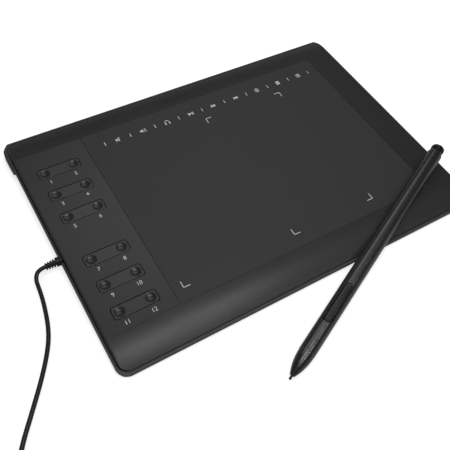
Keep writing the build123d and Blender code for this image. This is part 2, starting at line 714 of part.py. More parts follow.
def route_points():
    exit_point = desk_point(LEFT - RELIEF_LENGTH, RELIEF_Y, RELIEF_Z)
    points = [exit_point, exit_point + Vector(-CORD_FIRST_RUN, 0, 0)]
    for dx, dy, clear in CORD_ROUTE:
        points.append(Vector(exit_point.X + dx, exit_point.Y + dy, CORD_DIAMETER / 2 + clear))
    return points


def bend_radii(points):
    """Each bend takes the same share of the shorter run beside it."""
    radii = []
    for before, corner, after in zip(points, points[1:], points[2:]):
        arriving = corner - before
        leaving = after - corner
        turn = math.radians(arriving.get_angle(leaving))
        shorter = min(arriving.length, leaving.length)
        radii.append(CORD_BEND_SHARE * shorter / math.tan(turn / 2))
    return radii


def make_cord_tube(points):
    radii = bend_radii(points)
    print("cord bend radii", [round(radius, 1) for radius in radii])
    path = FilletPolyline(*points, radius=radii)
    section = Plane(origin=points[0], z_dir=points[1] - points[0]) * Circle(CORD_DIAMETER / 2)
    tube = sweep(section, path=path)
    expected = math.pi * (CORD_DIAMETER / 2) ** 2 * path.length
    print("cord length", round(path.length, 1), "volume over expected", round(tube.volume / expected, 4))
    return tube


def coil_nodes(start, heading):
    """Places and directions a quarter turn apart: in on the desk, and out again on top."""
    inward = Vector(-heading.Y, heading.X, 0)
    middle = start + inward * COIL_RADIUS
    bottom = start.Z
    first_angle = math.atan2(-inward.Y, -inward.X)
    step = COIL_PITCH / 4
    climb_end = COIL_BOTTOM_QUARTERS + COIL_REVERSAL_QUARTERS
    inmost = COIL_BOTTOM_QUARTERS + COIL_REVERSAL_QUARTERS / 2
    nodes = []
    for quarter in range(climb_end + COIL_TOP_QUARTERS + 1):
        radius = COIL_RADIUS - inmost * step + abs(quarter - inmost) * step
        climb = min(max(quarter - COIL_BOTTOM_QUARTERS, 0), COIL_REVERSAL_QUARTERS)
        height = bottom + COIL_PITCH * climb / COIL_REVERSAL_QUARTERS
        angle = first_angle + quarter * math.pi / 2
        place = middle + Vector(math.cos(angle), math.sin(angle), 0) * radius
        place = Vector(place.X, place.Y, height)
        nodes.append((place, Vector(-math.sin(angle), math.cos(angle), 0)))
    return nodes


def tail_nodes(place, heading):
    """From the top layer down to the plug, straight at both ends."""
    down = Vector(0, 0, PLUG_HEIGHT / 2 + PLUG_LIFT - place.Z)
    leave = place + heading * CORD_DIAMETER
    arrive = leave + heading * COIL_TAIL + down
    return [(leave, heading), (arrive, heading), (arrive + heading * CORD_DIAMETER, heading)]


def joined_arcs(start, start_heading, end, end_heading):
    """Two arcs that meet smoothly, or a line where the way is straight."""
    across = end - start
    both = start_heading + end_heading
    if across.get_angle(start_heading) < 0.01 and across.get_angle(end_heading) < 0.01:
        return [Line(start, end)]
    spread = 2 * (1 - start_heading.dot(end_heading))
    reach = across.dot(both)
    if spread < 1e-6:
        size = across.dot(across) / (2 * reach)
    else:
        size = (math.sqrt(reach**2 + spread * across.dot(across)) - reach) / spread
    meeting = (start + end + (start_heading - end_heading) * size) * 0.5
    first = TangentArc(start, meeting, tangent=start_heading)
    return [first, TangentArc(meeting, end, tangent=first % 1)]


def least_coil_gap(path):
    """Clear space between one turn and the next, measured on points along the coil."""
    count = round(path.length / 4.0)
    places = [path @ (index / count) for index in range(count + 1)]
    apart = round(3 * CORD_DIAMETER / 4.0) + 4
    gaps = []
    for index, place in enumerate(places):
        gaps += [(place - other).length for other in places[index + apart:]]
    return min(gaps) - CORD_DIAMETER


def make_coil(points):
    heading = (points[-1] - points[-2]).normalized()
    nodes = coil_nodes(points[-1], heading)
    nodes += tail_nodes(*nodes[-1])
    curves = []
    for (start, start_heading), (end, end_heading) in zip(nodes, nodes[1:]):
        curves += joined_arcs(start, start_heading, end, end_heading)
    path = Wire([curve.edge() for curve in curves])
    section = Plane(origin=nodes[0][0], z_dir=nodes[0][1]) * Circle(CORD_DIAMETER / 2)
    coil = sweep(section, path=path)
    expected = math.pi * (CORD_DIAMETER / 2) ** 2 * path.length
    print("coil length", round(path.length, 1), "volume over expected", round(coil.volume / expected, 4))
    print("least gap between turns", round(least_coil_gap(path), 2))
    return coil, nodes[-1]


def plug_frame(end, heading):
    """The plug's own frame: X along the lead, Z up, starting where the lead ends."""
    turn = math.degrees(math.atan2(heading.Y, heading.X))
    return Pos(end.X, end.Y, end.Z) * Rot(0, 0, turn)


def make_plug_body():
    relief_profile = Polyline(
        (0, 0),
        (0, PLUG_RELIEF_RADIUS),
        (PLUG_RELIEF_LENGTH, PLUG_RELIEF_ROOT),
        (PLUG_RELIEF_LENGTH, 0),
        close=True,
    )
    relief = revolve(make_face(relief_profile), Axis.X)
    end = PLUG_RELIEF_LENGTH + PLUG_LENGTH
    half_width = PLUG_WIDTH / 2
    half_height = PLUG_HEIGHT / 2
    body = box((PLUG_RELIEF_LENGTH, end), (-half_width, half_width), (-half_height, half_height))
    body = fillet(body.edges().filter_by(Axis.X), PLUG_ROUND)
    body = chamfer(body.faces().sort_by(Axis.X)[0].edges(), 0.6)
    pocket = box((end - PLUG_SHELL_SEAT, end), *shell_section(0))
    return body + relief - pocket


def shell_section(inset):
    half_width = PLUG_SHELL_WIDTH / 2 - inset
    half_height = PLUG_SHELL_HEIGHT / 2 - inset
    return (-half_width, half_width), (-half_height, half_height)


def make_plug_shell():
    seat = PLUG_RELIEF_LENGTH + PLUG_LENGTH - PLUG_SHELL_SEAT
    tip = PLUG_RELIEF_LENGTH + PLUG_LENGTH + PLUG_SHELL_LENGTH
    shell = box((seat, tip), *shell_section(0))
    shell -= box((seat - 1.0, tip + 1.0), *shell_section(PLUG_SHELL_WALL))
    for side in (-1, 1):
        middle = side * PLUG_SHELL_WIDTH / 4.6
        shell -= box((tip - 8.2, tip - 5.8), (middle - 1.2, middle + 1.2), (-TALL, TALL))
    return shell


def make_plug_tongue():
    seat = PLUG_RELIEF_LENGTH + PLUG_LENGTH - PLUG_SHELL_SEAT
    tip = PLUG_RELIEF_LENGTH + PLUG_LENGTH + PLUG_SHELL_LENGTH - TONGUE_SHORT
    half_width = PLUG_SHELL_WIDTH / 2 - PLUG_SHELL_WALL
    bottom = -PLUG_SHELL_HEIGHT / 2 + PLUG_SHELL_WALL
    return box((seat, tip), (-half_width, half_width), (bottom, bottom + TONGUE_THICKNESS))


# Pen

def roll_depth(y):
    """Depth of the rolled front edge below the flat top, on its chord and bulge."""
    share = (PANEL_FRONT - y) / (PANEL_FRONT - FRONT_SEAM_Y)
    return (SEAM_DEPTH - SEAM_EDGE) * share - 4 * ROLL_SAGITTA * share * (1 - share)


def pen_frame():
    """The nose lies on the desk and the barrel rests across the rolled front edge."""
    rest_y = FRONT + PEN_REST_FROM_FRONT
    rest = desk_point(0, rest_y, -roll_depth(rest_y)).Z + PEN_REST_CLEARANCE + PEN_REST_RADIUS
    along = (PEN_TIP_FROM_FRONT + PEN_REST_FROM_FRONT) / math.sin(math.radians(PEN_HEADING))
    belly = GRIP_RADIUS + PEN_DESK_CLEARANCE
    slope = math.degrees(math.asin((rest - belly) / (along - NOSE_END)))
    tip_height = belly - (NOSE_END - NIB_TIP_RADIUS) * math.sin(math.radians(slope))
    tip = Pos(PEN_TIP_X, FRONT - PEN_TIP_FROM_FRONT, tip_height)
    turned = Rot(0, 0, PEN_HEADING) * Rot(0, -slope, 0) * Rot(PEN_ROLL, 0, 0)
    return tip * turned * Pos(-NIB_TIP_RADIUS, 0, 0)


def pen_radius(x):
    share = (x - NOSE_END) / (BARREL_END - NOSE_END)
    return GRIP_RADIUS + (TAIL_RADIUS - GRIP_RADIUS) * share


def pen_tube(start, end):
    """A length of the pen's slightly tapered outside, solid, with bevelled ends."""
    profile = Polyline(
        (start, 0),
        (start, pen_radius(start) - JOINT_BEVEL),
        (start + JOINT_BEVEL, pen_radius(start)),
        (end - JOINT_BEVEL, pen_radius(end)),
        (end, pen_radius(end) - JOINT_BEVEL),
        (end, 0),
        close=True,
    )
    return revolve(make_face(profile), Axis.X)


def round_ended(start, end, width, bottom):
    """A bar along the pen with round ends, from a height inside it to above its surface."""
    bar = plate(end - start, width, width / 2 - ROUND_END_MARGIN, bottom, TALL)
    return Pos((start + end) / 2, 0, 0) * bar


def make_nib():
    end = NOSE_END + SPIGOT_LENGTH + FERRITE_LENGTH + NIB_REACH
    nib = rod_along_x(NIB_RADIUS, NIB_TIP_RADIUS, end)
    return nib + Pos(NIB_TIP_RADIUS, 0, 0) * Sphere(NIB_TIP_RADIUS)


def make_nose():
    back = (NOSE_END, GRIP_RADIUS - JOINT_BEVEL)
    outside = TangentArc(back, (NOSE_START, NOSE_TIP_RADIUS), tangent=(-1, 0))
    spigot = PEN_BORE - SPIGOT_CLEARANCE
    rest = Polyline(
        (NOSE_START, NOSE_TIP_RADIUS),
        (NOSE_START, 0),
        (NOSE_END + SPIGOT_LENGTH, 0),
        (NOSE_END + SPIGOT_LENGTH, spigot),
        (NOSE_END, spigot),
        back,
    )
    nose = revolve(make_face(outside + rest), Axis.X)
    return nose - rod_along_x(NIB_RADIUS + NIB_CLEARANCE, 0, GRIP_END)


def make_grip():
    """Grip half of the pen, with the pocket and the slot for the button."""
    grip = pen_tube(NOSE_END, GRIP_END) - rod_along_x(PEN_BORE, 0, GRIP_END + 1.0)
    pocket = round_ended(POCKET_START, POCKET_END, POCKET_WIDTH, 0)
    grip -= pocket - rod_along_x(GRIP_RADIUS - POCKET_DEPTH, 0, GRIP_END + 1.0)
    slot = (BUTTON_START - BUTTON_GAP, BUTTON_END + BUTTON_GAP, BUTTON_WIDTH + 2 * BUTTON_GAP)
    grip -= round_ended(*slot, 0)
    reach = BUTTON_PIVOT_REACH + 0.1
    hole = BUTTON_PIVOT_RADIUS + PIVOT_CLEARANCE
    return grip - rod_along_y(hole, -reach, reach, (BUTTON_START + BUTTON_END) / 2, BUTTON_PIVOT_Z)


def make_barrel():
    profile = Polyline(
        (GRIP_END, 0),
        (GRIP_END, pen_radius(GRIP_END) - JOINT_BEVEL),
        (GRIP_END + JOINT_BEVEL, pen_radius(GRIP_END)),
        (BARREL_END - SHOULDER_ROUND, TAIL_RADIUS),
    )
    shoulder = TangentArc(
        (BARREL_END - SHOULDER_ROUND, TAIL_RADIUS),
        (BARREL_END, TAIL_RADIUS - SHOULDER_ROUND),
        tangent=(1, 0),
    )
    back = Polyline((BARREL_END, TAIL_RADIUS - SHOULDER_ROUND), (BARREL_END, 0), (GRIP_END, 0))
    barrel = revolve(make_face(profile + shoulder + back), Axis.X)
    barrel += rod_along_x(PEN_BORE - SPIGOT_CLEARANCE, GRIP_END - SPIGOT_LENGTH, GRIP_END)
    barrel -= rod_along_x(PEN_BORE - SPIGOT_CLEARANCE - SPIGOT_WALL, 0, GRIP_END + SPIGOT_LENGTH)
    return barrel - rod_along_x(PEN_BORE, GRIP_END + SPIGOT_LENGTH, BARREL_END + 1.0)


def make_cap():
    neck_end = BARREL_END + CAP_NECK_LENGTH
    disc = rod_along_x(CAP_RADIUS, neck_end, neck_end + CAP_LENGTH)
    disc = fillet(disc.edges(), 0.5)
    neck = rod_along_x(CAP_NECK_RADIUS, BARREL_END, neck_end)
    return disc + neck + rod_along_x(PEN_BORE - SPIGOT_CLEARANCE, BARREL_END - SPIGOT_LENGTH, BARREL_END)


def make_ferrite_and_winding():
    start = NOSE_END + SPIGOT_LENGTH
    end = start + FERRITE_LENGTH
    ferrite = rod_along_x(FERRITE_RADIUS, start, end) - rod_along_x(NIB_RADIUS + NIB_LOOSE, start, end)
    wound = (start + COIL_WIRE_INDENT, end - COIL_WIRE_INDENT)
    winding = rod_along_x(COIL_WIRE_RADIUS, *wound) - rod_along_x(FERRITE_RADIUS, *wound)
    return ferrite, winding


def pen_board_start():
    return NOSE_END + SPIGOT_LENGTH + FERRITE_LENGTH + SENSOR_LENGTH


def make_pressure_sensor():
    end = pen_board_start()
    start = end - SENSOR_LENGTH
    bore = rod_along_x(NIB_RADIUS + NIB_LOOSE, start, start + SENSOR_BORE_DEPTH)
    return rod_along_x(SENSOR_RADIUS, start, end) - bore


def make_pen_board():
    start = pen_board_start()
    half = PEN_BOARD_WIDTH / 2
    top = PEN_BOARD_BOTTOM + PEN_BOARD_THICKNESS
    return box((start, start + PEN_BOARD_LENGTH), (-half, half), (PEN_BOARD_BOTTOM, top))


def make_pen_switches():
    bottom = PEN_BOARD_BOTTOM + PEN_BOARD_THICKNESS
    height = (bottom, bottom + PEN_SWITCH_HEIGHT)
    middle = (BUTTON_START + BUTTON_END) / 2
    places = [middle + side * BUTTON_PLUNGER for side in (-1, 1)]
    return Compound(children=[box((x - 2.0, x + 2.0), (-1.5, 1.5), height) for x in places])


def make_pen_button():
    middle = (BUTTON_START + BUTTON_END) / 2
    button = round_ended(BUTTON_START, BUTTON_END, BUTTON_WIDTH, BUTTON_BOTTOM)
    button &= rod_along_x(BUTTON_CROWN, BUTTON_START - 1.0, BUTTON_END + 1.0)
    button = fillet(button.faces().sort_by(Axis.Z)[-1].edges(), BUTTON_ROUND)
    switch_top = PEN_BOARD_BOTTOM + PEN_BOARD_THICKNESS + PEN_SWITCH_HEIGHT
    for side in (-1, 1):
        x = middle + side * BUTTON_PLUNGER
        button += rod(1.0, switch_top + BUTTON_TRAVEL_GAP, BUTTON_BOTTOM, x)
    reach = BUTTON_PIVOT_REACH
    return button + rod_along_y(BUTTON_PIVOT_RADIUS, -reach, reach, middle, BUTTON_PIVOT_Z)


# Everything is made, placed on the desk and written out

os.makedirs("parts", exist_ok=True)

cavity = case_cavity()
export("top_cover", ON_DESK * make_top_cover(cavity))
export("drawing_panel", ON_DESK * make_panel())
export("bottom_cover", ON_DESK * make_bottom_cover(cavity))
export("rubber_feet", make_feet())
export("case_screws", ON_DESK * make_case_screws())

for number, key_y in enumerate(KEY_YS, start=1):
    export(f"rocker_key_{number}", ON_DESK * make_key(key_y))
export("key_carrier", ON_DESK * make_carrier())
export("key_board", ON_DESK * make_key_board())
export("switch_bodies", ON_DESK * make_switch_bodies())
export("switch_stems", ON_DESK * make_switch_stems())
export("board_screws", ON_DESK * make_board_screws())
export("controller_chips", ON_DESK * make_chips())

export("sensor_board", ON_DESK * make_sensor_board())
export("sensor_shield", ON_DESK * make_sensor_shield())
flex, sockets = make_flex_and_sockets()
export("sensor_flex", ON_DESK * flex)
export("flex_sockets", ON_DESK * sockets)

export("cable_relief", ON_DESK * make_relief())
inner_lead, lead_plug, lead_header = make_inner_lead()
export("inner_lead", ON_DESK * inner_lead)
export("lead_plug", ON_DESK * lead_plug)
export("lead_header", ON_DESK * lead_header)

cord_points = route_points()
export("usb_cable_tube", make_cord_tube(cord_points))
coil, (coil_end, coil_heading) = make_coil(cord_points)
export("usb_cable_coil", coil)
AT_PLUG = plug_frame(coil_end, coil_heading)
export("usb_plug_body", AT_PLUG * make_plug_body())
export("usb_plug_shell", AT_PLUG * make_plug_shell())
export("usb_plug_tongue", AT_PLUG * make_plug_tongue())

AT_PEN = pen_frame()
ferrite, winding = make_ferrite_and_winding()
export("pen_nib", AT_PEN * make_nib())
export("pen_nose", AT_PEN * make_nose())
export("pen_grip", AT_PEN * make_grip())
export("pen_barrel", AT_PEN * make_barrel())
export("pen_cap", AT_PEN * make_cap())
export("pen_ferrite", AT_PEN * ferrite)
export("pen_winding", AT_PEN * winding)
export("pen_pressure_sensor", AT_PEN * make_pressure_sensor())
export("pen_board", AT_PEN * make_pen_board())
export("pen_switches", AT_PEN * make_pen_switches())
export("pen_button", AT_PEN * make_pen_button())
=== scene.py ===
import math
import bpy
import bmesh
from mathutils import Matrix, Vector


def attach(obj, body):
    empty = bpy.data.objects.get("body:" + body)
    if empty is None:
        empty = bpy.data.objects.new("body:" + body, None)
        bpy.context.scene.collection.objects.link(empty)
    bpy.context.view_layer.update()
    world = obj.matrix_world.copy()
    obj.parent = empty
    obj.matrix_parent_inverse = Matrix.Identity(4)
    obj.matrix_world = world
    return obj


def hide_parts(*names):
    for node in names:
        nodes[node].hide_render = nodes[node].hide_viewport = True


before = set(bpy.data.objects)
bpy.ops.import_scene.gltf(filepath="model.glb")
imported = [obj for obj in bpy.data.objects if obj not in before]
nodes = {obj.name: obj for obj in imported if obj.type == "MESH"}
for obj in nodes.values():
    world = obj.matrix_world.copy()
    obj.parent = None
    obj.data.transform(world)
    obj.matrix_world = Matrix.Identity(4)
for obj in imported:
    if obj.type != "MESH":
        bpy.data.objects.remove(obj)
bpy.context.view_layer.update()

# Bottom cover
# A tray of dark satin plastic with the thick roll along its back edge. It is injection moulded with a
# fine spark texture, and eight screws from below hold it to the top cover.

# Its own dark grey is set lighter than the top cover's, a painted highlight for the light its lower lip
# picks up from the white desk.
LIT_BASE_COLOUR = (0.05, 0.05, 0.051)
TONE_SCALE = 22.0
TONE_SPREAD = 0.1
FLECK_SPREAD = 0.06
GLOSS_SPREAD = 0.05
# Edges are lightened through a broken-up mask: partly handling wear, partly a painted highlight along
# rims and edges.
WEAR_AND_SHEEN_SCALE = 260.0
EDGE_FLAT = 0.995
EDGE_SHARP = 0.85
WEAR_AND_SHEEN_LEAST = 0.35
WEAR_AND_SHEEN_MOST = 0.65
GRAIN_DEPTH = 0.0002
WORN_AND_SHEEN_SHARE = 0.9


def moulded_plastic_group():
    """Fine moulded grain with slow changes of tone, as values for any plastic."""
    group = bpy.data.node_groups.new("Moulded plastic", "ShaderNodeTree")
    group.interface.new_socket("Grain scale", in_out="INPUT", socket_type="NodeSocketFloat")
    group.interface.new_socket("Colour", in_out="INPUT", socket_type="NodeSocketColor")
    group.interface.new_socket("Roughness", in_out="INPUT", socket_type="NodeSocketFloat")
    group.interface.new_socket("Colour", in_out="OUTPUT", socket_type="NodeSocketColor")
    group.interface.new_socket("Roughness", in_out="OUTPUT", socket_type="NodeSocketFloat")
    group.interface.new_socket("Height", in_out="OUTPUT", socket_type="NodeSocketFloat")
    tree, link = group.nodes, group.links.new
    given = tree.new("NodeGroupInput")
    put = tree.new("NodeGroupOutput")
    place = tree.new("ShaderNodeTexCoord")
    grain = tree.new("ShaderNodeTexNoise")
    grain.inputs["Detail"].default_value = 3.0
    cloud = tree.new("ShaderNodeTexNoise")
    cloud.inputs["Scale"].default_value = TONE_SCALE
    cloud.inputs["Detail"].default_value = 4.0
    tone = tree.new("ShaderNodeMapRange")
    tone.inputs["To Min"].default_value = 1.0 - TONE_SPREAD
    tone.inputs["To Max"].default_value = 1.0 + TONE_SPREAD
    fleck = tree.new("ShaderNodeMapRange")
    fleck.inputs["To Min"].default_value = 1.0 - FLECK_SPREAD
    fleck.inputs["To Max"].default_value = 1.0 + FLECK_SPREAD
    both = tree.new("ShaderNodeMath")
    both.operation = "MULTIPLY"
    colour = tree.new("ShaderNodeVectorMath")
    colour.operation = "SCALE"
    shift = tree.new("ShaderNodeMapRange")
    shift.inputs["To Min"].default_value = -GLOSS_SPREAD
    shift.inputs["To Max"].default_value = GLOSS_SPREAD
    rough = tree.new("ShaderNodeMath")
    link(place.outputs["Object"], grain.inputs["Vector"])
    link(given.outputs["Grain scale"], grain.inputs["Scale"])
    link(place.outputs["Object"], cloud.inputs["Vector"])
    link(cloud.outputs["Fac"], tone.inputs["Value"])
    link(grain.outputs["Fac"], fleck.inputs["Value"])
    link(tone.outputs["Result"], both.inputs[0])
    link(fleck.outputs["Result"], both.inputs[1])
    link(given.outputs["Colour"], colour.inputs[0])
    link(both.outputs[0], colour.inputs["Scale"])
    link(cloud.outputs["Fac"], shift.inputs["Value"])
    link(given.outputs["Roughness"], rough.inputs[0])
    link(shift.outputs["Result"], rough.inputs[1])
    link(colour.outputs[0], put.inputs["Colour"])
    link(rough.outputs[0], put.inputs["Roughness"])
    link(grain.outputs["Fac"], put.inputs["Height"])
    return group


def edge_wear_and_sheen_group():
    """Mask of the edges, broken up, where handling polishes a surface and where a painted highlight
    lightens its rims.
    """
    group = bpy.data.node_groups.new("Edge rubbing and sheen", "ShaderNodeTree")
    group.interface.new_socket("Width", in_out="INPUT", socket_type="NodeSocketFloat")
    group.interface.new_socket("Mask", in_out="OUTPUT", socket_type="NodeSocketFloat")
    tree, link = group.nodes, group.links.new
    given = tree.new("NodeGroupInput")
    put = tree.new("NodeGroupOutput")
    place = tree.new("ShaderNodeTexCoord")
    flat = tree.new("ShaderNodeNewGeometry")
    bevel = tree.new("ShaderNodeBevel")
    bevel.samples = 4
    dot = tree.new("ShaderNodeVectorMath")
    dot.operation = "DOT_PRODUCT"
    edge = tree.new("ShaderNodeMapRange")
    edge.inputs["From Min"].default_value = EDGE_FLAT
    edge.inputs["From Max"].default_value = EDGE_SHARP
    noise = tree.new("ShaderNodeTexNoise")
    noise.inputs["Scale"].default_value = WEAR_AND_SHEEN_SCALE
    noise.inputs["Detail"].default_value = 5.0
    broken = tree.new("ShaderNodeMapRange")
    broken.inputs["From Min"].default_value = WEAR_AND_SHEEN_LEAST
    broken.inputs["From Max"].default_value = WEAR_AND_SHEEN_MOST
    mask = tree.new("ShaderNodeMath")
    mask.operation = "MULTIPLY"
    link(given.outputs["Width"], bevel.inputs["Radius"])
    link(bevel.outputs["Normal"], dot.inputs[0])
    link(flat.outputs["Normal"], dot.inputs[1])
    link(dot.outputs["Value"], edge.inputs["Value"])
    link(place.outputs["Object"], noise.inputs["Vector"])
    link(noise.outputs["Fac"], broken.inputs["Value"])
    link(edge.outputs["Result"], mask.inputs[0])
    link(broken.outputs["Result"], mask.inputs[1])
    link(mask.outputs[0], put.inputs["Mask"])
    return group


MOULDED = moulded_plastic_group()
EDGE_WEAR_AND_SHEEN = edge_wear_and_sheen_group()


def plastic(name, colour, roughness, grain=2600.0, bump=0.06, specular=0.5, wear_and_sheen=0.35, wear_and_sheen_width=0.0004,
            paler=0.06):
    """Moulded plastic: grained, a little uneven in tone, and lighter at its edges, partly from handling
    wear and partly as a painted highlight.
    """
    material = bpy.data.materials.new(name)
    material.use_nodes = True
    tree, link = material.node_tree.nodes, material.node_tree.links.new
    shader = tree["Principled BSDF"]
    shader.inputs["Specular IOR Level"].default_value = specular
    body = tree.new("ShaderNodeGroup")
    body.node_tree = MOULDED
    body.inputs["Grain scale"].default_value = grain
    body.inputs["Colour"].default_value = (*colour, 1.0)
    body.inputs["Roughness"].default_value = roughness
    edge = tree.new("ShaderNodeGroup")
    edge.node_tree = EDGE_WEAR_AND_SHEEN
    edge.inputs["Width"].default_value = wear_and_sheen_width
    amount = tree.new("ShaderNodeMath")
    amount.operation = "MULTIPLY"
    amount.inputs[1].default_value = wear_and_sheen
    # Edges mix toward a paler colour: partly wear, partly a painted highlight.
    worn_and_sheen = tree.new("ShaderNodeMix")
    worn_and_sheen.data_type = "RGBA"
    worn_and_sheen.inputs["B"].default_value = (*[paler + WORN_AND_SHEEN_SHARE * part for part in colour], 1.0)
    height = tree.new("ShaderNodeBump")
    height.inputs["Strength"].default_value = bump
    height.inputs["Distance"].default_value = GRAIN_DEPTH
    link(edge.outputs["Mask"], amount.inputs[0])
    link(amount.outputs[0], worn_and_sheen.inputs["Factor"])
    link(body.outputs["Colour"], worn_and_sheen.inputs["A"])
    link(worn_and_sheen.outputs["Result"], shader.inputs["Base Color"])
    link(body.outputs["Roughness"], shader.inputs["Roughness"])
    link(body.outputs["Height"], height.inputs["Height"])
    link(height.outputs["Normal"], shader.inputs["Normal"])
    return material


def finish_nodes(material, *names):
    """Gives the named pieces one material in place of their own."""
    for name in names:
        nodes[name].data.materials.clear()
        nodes[name].data.materials.append(material)


finish_nodes(plastic("Bottom cover plastic", LIT_BASE_COLOUR, roughness=0.42), "bottom_cover")

# Rubber feet
# Five dull black pads, punched from rubber sheet and glued in shallow recesses of the bottom cover.
# Their lower faces are level with the desk.

FOOT_COLOUR = (0.012, 0.012, 0.012)

foot_rubber = plastic("Foot rubber", FOOT_COLOUR, roughness=0.8, grain=1400.0, bump=0.25, specular=0.3)
finish_nodes(foot_rubber, "rubber_feet")

# Case screws and board screws
# Small steel screws with a cross recess, cold headed and blackened. The case screws are turned in from
# below through the sleeves of the bottom cover, and the others hold the key board to its carrier.

SCREW_COLOUR = (0.09, 0.09, 0.1)
MARK_DEPTH = 0.0001


def metal(name, colour, roughness, brushed=900.0, bump=0.04):
    """Drawn or plated metal with fine marks and slight changes of gloss."""
    material = bpy.data.materials.new(name)
    material.use_nodes = True
    tree, link = material.node_tree.nodes, material.node_tree.links.new
    shader = tree["Principled BSDF"]
    shader.inputs["Metallic"].default_value = 1.0
    body = tree.new("ShaderNodeGroup")
    body.node_tree = MOULDED
    body.inputs["Grain scale"].default_value = brushed
    body.inputs["Colour"].default_value = (*colour, 1.0)
    body.inputs["Roughness"].default_value = roughness
    height = tree.new("ShaderNodeBump")
    height.inputs["Strength"].default_value = bump
    height.inputs["Distance"].default_value = MARK_DEPTH
    link(body.outputs["Colour"], shader.inputs["Base Color"])
    link(body.outputs["Roughness"], shader.inputs["Roughness"])
    link(body.outputs["Height"], height.inputs["Height"])
    link(height.outputs["Normal"], shader.inputs["Normal"])
    return material


finish_nodes(metal("Black screw steel", SCREW_COLOUR, roughness=0.4), "case_screws", "board_screws")

# Circuit boards
# Glass fibre boards under dark green solder mask: one below the keys, one below the drawing panel and
# a narrow one in the pen. Copper tracks show faintly through the mask.

BOARD_GREEN = (0.008, 0.07, 0.03)
BOARD_TRACK = (0.02, 0.14, 0.06)
TRACK_SCALE = 170.0
TRACK_WIDTH = 0.06
DARKER_PATCH = 0.8


def circuit_board():
    """Solder mask with a pattern of tracks that is a little lighter than the board."""
    material = plastic("Solder mask", BOARD_GREEN, roughness=0.3, grain=1800.0, bump=0.02, wear_and_sheen=0.1)
    tree, link = material.node_tree.nodes, material.node_tree.links.new
    place = tree.new("ShaderNodeTexCoord")
    tracks = tree.new("ShaderNodeTexBrick")
    tracks.inputs["Scale"].default_value = TRACK_SCALE
    tracks.inputs["Mortar Size"].default_value = TRACK_WIDTH
    tracks.inputs["Color1"].default_value = (*BOARD_GREEN, 1.0)
    tracks.inputs["Color2"].default_value = (*[DARKER_PATCH * part for part in BOARD_GREEN], 1.0)
    tracks.inputs["Mortar"].default_value = (*BOARD_TRACK, 1.0)
    body = next(node for node in tree if node.type == "GROUP" and node.node_tree == MOULDED)
    link(place.outputs["Object"], tracks.inputs["Vector"])
    link(tracks.outputs["Color"], body.inputs["Colour"])
    return material


finish_nodes(circuit_board(), "key_board", "sensor_board", "pen_board")

# Switches, chips and sockets
# Twelve stamped steel switches with black stems, black moulded chips and pale nylon sockets, all
# soldered to the key board, with one more socket under the sensor board.

SWITCH_STEEL = (0.6, 0.6, 0.58)
STEM_COLOUR = (0.02, 0.02, 0.02)
CHIP_COLOUR = (0.014, 0.014, 0.015)
NYLON_COLOUR = (0.62, 0.58, 0.48)

finish_nodes(metal("Switch steel", SWITCH_STEEL, roughness=0.35), "switch_bodies", "pen_switches")
finish_nodes(plastic("Switch stem", STEM_COLOUR, roughness=0.45), "switch_stems")
chip_epoxy = plastic("Chip epoxy", CHIP_COLOUR, roughness=0.5, grain=3500.0, bump=0.12)
finish_nodes(chip_epoxy, "controller_chips")
socket_nylon = plastic("Socket nylon", NYLON_COLOUR, roughness=0.4)
finish_nodes(socket_nylon, "flex_sockets", "lead_plug", "lead_header")

# Key carrier
# A dark grey moulded frame whose ears hold the pivots of the six keys. It is screwed to the top cover
# together with the key board.

CARRIER_COLOUR = (0.07, 0.07, 0.072)

finish_nodes(plastic("Carrier plastic", CARRIER_COLOUR, roughness=0.5), "key_carrier")

# Sensor shield and flat cable
# Rolled aluminium foil glued on the back of the sensor board, and an amber film cable that is plugged
# in at both ends, between that board and the key board.

FOIL_COLOUR = (0.72, 0.73, 0.75)
AMBER_COLOUR = (0.4, 0.16, 0.03)

finish_nodes(metal("Shield foil", FOIL_COLOUR, roughness=0.3, brushed=500.0), "sensor_shield")
amber_film = plastic("Amber film", AMBER_COLOUR, roughness=0.25, grain=1200.0, bump=0.02)
finish_nodes(amber_film, "sensor_flex")

# Top cover
# The visible face: dark grey satin plastic with a very fine spark texture, moulded in one piece with
# the rolled front and back edges. Its lower rim leaves a narrow seam above the bottom cover.

COVER_COLOUR = (0.029, 0.029, 0.0295)

cover_plastic = plastic("Top cover plastic", COVER_COLOUR, roughness=0.31, specular=0.4, wear_and_sheen=0.25)
finish_nodes(cover_plastic, "top_cover")

# Rocker keys
# Six moulded bars of the same plastic as the cover, a little glossier, each with a fingertip dish at
# both ends. Each one rocks on two pivots in the key carrier.

KEY_COLOUR = (0.026, 0.026, 0.0265)
KEY_COUNT = 6

key_plastic = plastic("Key plastic", KEY_COLOUR, roughness=0.27, grain=3200.0, bump=0.04, specular=0.45,
                      wear_and_sheen=0.25)
finish_nodes(key_plastic, *[f"rocker_key_{number}" for number in range(1, KEY_COUNT + 1)])

# Drawing panel
# A matt polyester sheet, laminated and die cut, laid in a recess of the top cover. The pen nib's light
# scratches show only as a slightly uneven gloss.

PANEL_COLOUR = (0.038, 0.038, 0.0385)

sheet_surface = plastic("Drawing sheet", PANEL_COLOUR, roughness=0.5, grain=4200.0, bump=0.05,
                        specular=0.35, wear_and_sheen=0.1)
finish_nodes(sheet_surface, "drawing_panel")

# Panel print
# Corner marks and a row of small signs between short bars, screen printed in light grey ink. Four marks
# frame the smaller area for a phone's shape, and the fifth is the front left corner of the whole area.

